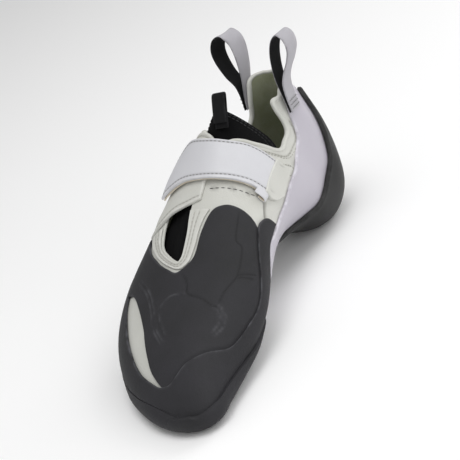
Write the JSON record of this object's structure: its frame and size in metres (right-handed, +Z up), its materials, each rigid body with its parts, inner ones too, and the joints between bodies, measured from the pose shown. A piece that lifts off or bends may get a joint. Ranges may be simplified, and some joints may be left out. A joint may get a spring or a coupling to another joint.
{
  "type": "climbing shoe",
  "caption": "Right-foot climbing shoe with a hollow slip-on upper, rubber sole, toe and heel, one hook-and-loop strap over the instep and webbing pull loops.",
  "frame": {"origin": "centre of the whole shoe's bounding box, on the floor it rests on", "axes": "+Z up, -Y from the middle towards the toe tip, +Y towards the heel, +X towards the big-toe side of a right foot"},
  "size_m": [0.096, 0.2406, 0.1302],
  "materials": {
    "synthetic": "matt off-white synthetic leather",
    "rubber": "dark matt rubber",
    "pale_rubber": "pale matt rubber",
    "cloth": "black stretch cloth",
    "strap": "smooth white synthetic",
    "lining": "beige lining",
    "webbing": "light grey webbing",
    "footbed": "olive microfibre"
  },
  "bodies": {
    "root": {"upper": "synthetic", "outsole": "rubber", "heel_sole": "rubber", "toe_rand": "rubber", "toe_patch": "rubber", "heel_rand": "pale_rubber", "slit_binding": "synthetic", "quarter_flap": "synthetic", "strap": "strap", "strap_lining": "lining", "strap_anchor": "synthetic", "tongue": "cloth", "tongue_tab": "cloth", "pull_loop_medial": "webbing", "pull_loop_lateral": "webbing", "insole": "footbed"}
  },
  "joints": []
}
